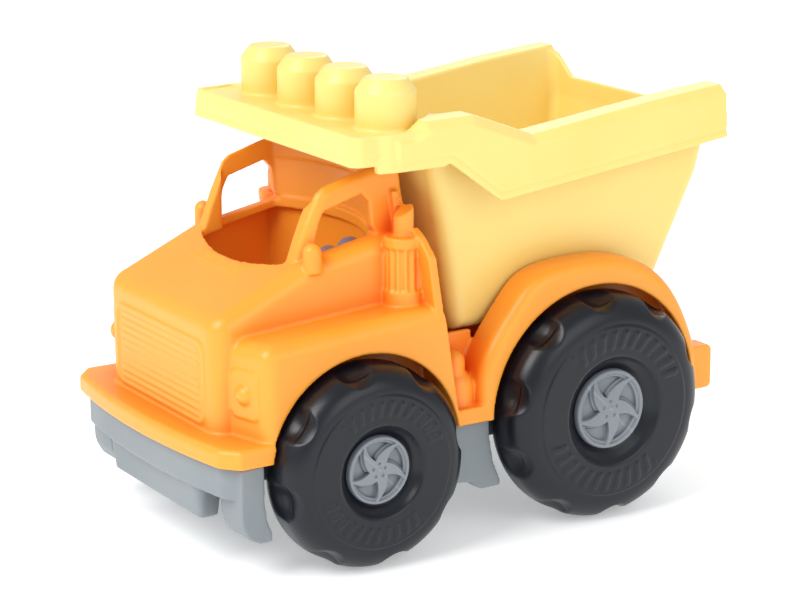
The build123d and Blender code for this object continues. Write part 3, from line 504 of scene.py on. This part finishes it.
for end, wheel in wheels.items():
    for hand in ("left", "right"):
        node = f"{end}_{hand}_tyre"
        tyre = make_tyre(node + "_skin", node, wheel)
        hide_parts(node)
        finish_piece(tyre, node, tyre_black)
        node = f"{end}_{hand}_hubcap"
        cap = make_hubcap(node + "_face", node)
        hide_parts(node)
        finish_piece(cap, node, silver)

# ---------------------------------------------------------------- moulded body, bed and chassis
mouldings = (
    # piece, CAD node, voxel size and rounds of softening (fine, then quick), material
    ("cab_body", "body_shell", 0.6 * MM, 7, 0.8 * MM, 5, orange),
    ("tipping_bed_skin", "dump_bed", 0.6 * MM, 10, 0.8 * MM, 7, yellow),
    ("chassis_skin", "chassis", 0.8 * MM, 7, 1.1 * MM, 5, grey),
    ("driver_skin", "driver_figure", 0.5 * MM, 8, 0.5 * MM, 8, pearl_grey),
)
for name, node, voxel, rounds, quick_voxel, quick_rounds, material in mouldings:
    finish_piece(moulded(name, node, voxel, rounds), node, material)


def ball(name, centre, radius, material):
    """Small ball of the driver's face."""
    shape = bmesh.new()
    bmesh.ops.create_uvsphere(shape, u_segments=32, v_segments=20, radius=radius, matrix=Matrix.Translation(centre))
    mesh = bpy.data.meshes.new(name)
    shape.to_mesh(mesh)
    shape.free()
    shade_smooth(mesh)
    finish_piece(add_object(name, mesh), "driver_figure", material)


# eyes: a white ball in each brow with a dark pupil, looking ahead and outwards
face_low, face_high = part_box("driver_figure")
face_x = (face_low.x + face_high.x) / 2
for hand, side in (("left", 1), ("right", -1)):
    brow = Vector((face_x + side * 4.5 * MM, face_low.y + 11.5 * MM, face_high.z - 7.5 * MM))
    eye = brow + Vector((side * 2.4, -2.0, 0.6)) * MM
    ball(f"driver_eye_{hand}", eye, 2.9 * MM, eye_white)
    ball(f"driver_pupil_{hand}", eye + Vector((side * 1.5, -1.2, 0.1)) * MM, 1.35 * MM, eye_dark)

# ---------------------------------------------------------------- CAD nodes that stay
node_materials = {
    "cab_floor": orange, "bed_hinge_pin": steel, "hinge_pin_clips": steel, "front_axle": steel,
    "rear_axle": steel, "front_axle_washers": steel, "rear_axle_washers": steel, "body_screws": steel,
    "front_axle_bushes": nylon, "rear_axle_bushes": nylon,
}
for node, material in node_materials.items():
    frame["nodes"][node].data.materials.clear()
    frame["nodes"][node].data.materials.append(material)
for end in wheels:
    for hand in ("left", "right"):
        core = frame["nodes"][f"{end}_{hand}_wheel_core"]
        core.data.materials.clear()
        core.data.materials.append(core_black)


# ---------------------------------------------------------------- floor, light and camera
def make_floor():
    """Plain pale floor, large enough to fill the view."""
    bpy.ops.mesh.primitive_plane_add(size=40, location=(0, 0, 0))
    floor = bpy.context.object
    floor.name = "floor"
    material = bpy.data.materials.new("pale_floor")
    material.use_nodes = True
    shader = material.node_tree.nodes["Principled BSDF"]
    shader.inputs["Base Color"].default_value = (0.93, 0.93, 0.93, 1)
    shader.inputs["Roughness"].default_value = 0.9
    shader.inputs["Emission Color"].default_value = (1, 1, 1, 1)
    shader.inputs["Emission Strength"].default_value = 0.33
    floor.data.materials.append(material)


def area_light(name, place, target, size, power, colour=(1, 1, 1)):
    """Soft box that points from its place to its target."""
    data = bpy.data.lights.new(name, "AREA")
    data.shape = "SQUARE"
    data.size = size
    data.energy = power
    data.color = colour
    lamp = bpy.data.objects.new(name, data)
    lamp.location = place
    lamp.rotation_euler = (Vector(target) - Vector(place)).to_track_quat("-Z", "Y").to_euler()
    bpy.context.scene.collection.objects.link(lamp)


make_floor()
area_light("key", (0.2, -1.5, 1.5), (0, 0, 0.08), 1.1, 29)
area_light("fill", (1.7, 0.3, 0.9), (0, 0, 0.08), 1.2, 8)
area_light("back", (-1.2, 1.2, 1.4), (0, 0, 0.1), 1.2, 12)

world = bpy.data.worlds.new("studio")
world.use_nodes = True
world.node_tree.nodes["Background"].inputs["Color"].default_value = (0.95, 0.975, 1, 1)
world.node_tree.nodes["Background"].inputs["Strength"].default_value = 0.62
bpy.context.scene.world = world
bpy.context.scene.view_settings.view_transform = "Standard"

# camera at the studio view: azimuth from the front towards the truck's left side
view_azimuth = math.radians(58.23)
view_elevation = math.radians(14.93)
view_roll = math.radians(-0.30)
camera_place = Vector((0.92975, -0.57212, 0.37868))
back = Vector((
    math.sin(view_azimuth) * math.cos(view_elevation), -math.cos(view_azimuth) * math.cos(view_elevation),
    math.sin(view_elevation),
))
right = Vector((math.cos(view_azimuth), math.sin(view_azimuth), 0))
up = back.cross(right)
turned_right = right * math.cos(view_roll) + up * math.sin(view_roll)
turned_up = up * math.cos(view_roll) - right * math.sin(view_roll)
camera_data = bpy.data.cameras.new("camera")
camera_data.sensor_width = 36
camera_data.lens = 116.74
camera = bpy.data.objects.new("camera", camera_data)
camera.matrix_world = Matrix((
    (turned_right.x, turned_up.x, back.x, camera_place.x),
    (turned_right.y, turned_up.y, back.y, camera_place.y),
    (turned_right.z, turned_up.z, back.z, camera_place.z),
    (0, 0, 0, 1),
))
bpy.context.scene.collection.objects.link(camera)
bpy.context.scene.camera = camera
